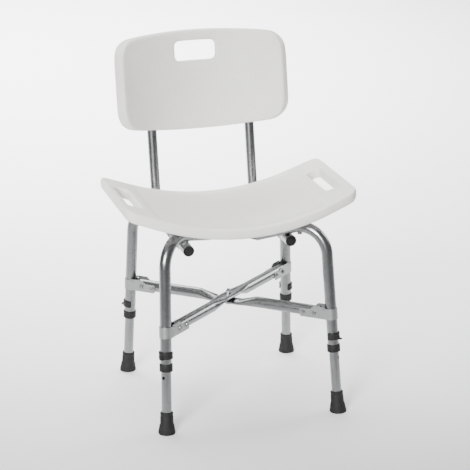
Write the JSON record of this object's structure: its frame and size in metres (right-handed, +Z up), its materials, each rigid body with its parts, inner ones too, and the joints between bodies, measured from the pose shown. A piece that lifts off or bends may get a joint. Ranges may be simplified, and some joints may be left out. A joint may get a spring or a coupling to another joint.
{
  "type": "shower chair",
  "caption": "Shower chair with a dished hollow plastic seat and back, folded aluminium leg frames, an X brace, height-adjustable legs and a pull-off back.",
  "frame": {"origin": "middle of the footprint of the whole chair, on the floor", "axes": "+Z up, the front of the chair faces -Y, left is -X"},
  "size_m": [0.528, 0.5092, 0.7998],
  "materials": {
    "white_shell": "white blow-moulded polyethylene, fine pebble grain",
    "satin_aluminium": "satin anodised tube",
    "sheet_aluminium": "stamped anodised sheet",
    "zinc_steel": "zinc plated steel",
    "black_rubber": "moulded black rubber",
    "black_plastic": "moulded black nylon",
    "grey_plastic": "grey nylon"
  },
  "bodies": {
    "chair_frame": {"seat": "white_shell", "leg_frame_upper": "satin_aluminium", "leg_frame_lower": "satin_aluminium", "brace_upper": "satin_aluminium", "brace_lower": "satin_aluminium", "bracket_bolts": "zinc_steel", "bracket_nuts": "zinc_steel", "frame_bolt": "zinc_steel", "frame_nut": "zinc_steel", "brace_bolt": "zinc_steel", "brace_nut": "zinc_steel", "seat_screws": "zinc_steel", "socket_tube_left": "satin_aluminium", "socket_tube_right": "satin_aluminium", "socket_plug_left": "black_plastic", "socket_plug_right": "black_plastic", "socket_straps_left": "sheet_aluminium", "socket_straps_right": "sheet_aluminium", "strap_screws": "zinc_steel", "brace_bracket_front_left": "sheet_aluminium", "leg_collar_front_left": "black_plastic", "brace_bracket_front_right": "sheet_aluminium", "leg_collar_front_right": "black_plastic", "brace_bracket_rear_left": "sheet_aluminium", "leg_collar_rear_left": "black_plastic", "brace_bracket_rear_right": "sheet_aluminium", "leg_collar_rear_right": "black_plastic"},
    "backrest": {"back_tube_left": "satin_aluminium", "back_tube_right": "satin_aluminium", "back_panel": "white_shell", "panel_screws": "zinc_steel"},
    "snap_left": {"snap_button_left": "zinc_steel"},
    "snap_right": {"snap_button_right": "zinc_steel"},
    "leg_front_left": {"leg_extension_front_left": "satin_aluminium", "extension_glide_front_left": "grey_plastic", "foot_disc_front_left": "zinc_steel", "foot_tip_front_left": "black_rubber"},
    "leg_front_right": {"leg_extension_front_right": "satin_aluminium", "extension_glide_front_right": "grey_plastic", "foot_disc_front_right": "zinc_steel", "foot_tip_front_right": "black_rubber"},
    "leg_rear_left": {"leg_extension_rear_left": "satin_aluminium", "extension_glide_rear_left": "grey_plastic", "foot_disc_rear_left": "zinc_steel", "foot_tip_rear_left": "black_rubber"},
    "leg_rear_right": {"leg_extension_rear_right": "satin_aluminium", "extension_glide_rear_right": "grey_plastic", "foot_disc_rear_right": "zinc_steel", "foot_tip_rear_right": "black_rubber"},
    "clip_front_left": {"leg_clip_front_left": "black_plastic"},
    "clip_front_right": {"leg_clip_front_right": "black_plastic"},
    "clip_rear_left": {"leg_clip_rear_left": "black_plastic"},
    "clip_rear_right": {"leg_clip_rear_right": "black_plastic"}
  },
  "joints": [
    {"name": "backrest_slide", "type": "slide", "parent": "chair_frame", "child": "backrest", "axis": [0, 1, 0], "range_m": [0, 0.16]},
    {"name": "snap_left_press", "type": "slide", "parent": "backrest", "child": "snap_left", "axis": [0, 0, 1], "range_m": [0, 0.0045], "stiffness_N_per_m": 2500, "deforming": ["snap_button_left"]},
    {"name": "snap_right_press", "type": "slide", "parent": "backrest", "child": "snap_right", "axis": [0, 0, 1], "range_m": [0, 0.0045], "stiffness_N_per_m": 2500, "deforming": ["snap_button_right"]},
    {"name": "leg_front_left_height", "type": "slide", "parent": "chair_frame", "child": "leg_front_left", "axis": [-0.0384, -0.1023, -0.994], "range_m": [-0.0508, 0.0508]},
    {"name": "leg_front_right_height", "type": "slide", "parent": "chair_frame", "child": "leg_front_right", "axis": [0.0384, -0.1023, -0.994], "range_m": [-0.0508, 0.0508]},
    {"name": "leg_rear_left_height", "type": "slide", "parent": "chair_frame", "child": "leg_rear_left", "axis": [-0.0384, 0.1023, -0.994], "range_m": [-0.0508, 0.0508]},
    {"name": "leg_rear_right_height", "type": "slide", "parent": "chair_frame", "child": "leg_rear_right", "axis": [0.0384, 0.1023, -0.994], "range_m": [-0.0508, 0.0508]},
    {"name": "clip_front_left_pull", "type": "slide", "parent": "chair_frame", "child": "clip_front_left", "axis": [-0.7444, -0.6607, 0.0967], "range_m": [0, 0.0075], "stiffness_N_per_m": 3000, "deforming": ["leg_clip_front_left"]},
    {"name": "clip_front_right_pull", "type": "slide", "parent": "chair_frame", "child": "clip_front_right", "axis": [0.7444, -0.6607, 0.0967], "range_m": [0, 0.0075], "stiffness_N_per_m": 3000, "deforming": ["leg_clip_front_right"]},
    {"name": "clip_rear_left_pull", "type": "slide", "parent": "chair_frame", "child": "clip_rear_left", "axis": [-0.7444, 0.6607, 0.0967], "range_m": [0, 0.0075], "stiffness_N_per_m": 3000, "deforming": ["leg_clip_rear_left"]},
    {"name": "clip_rear_right_pull", "type": "slide", "parent": "chair_frame", "child": "clip_rear_right", "axis": [0.7444, 0.6607, 0.0967], "range_m": [0, 0.0075], "stiffness_N_per_m": 3000, "deforming": ["leg_clip_rear_right"]}
  ]
}
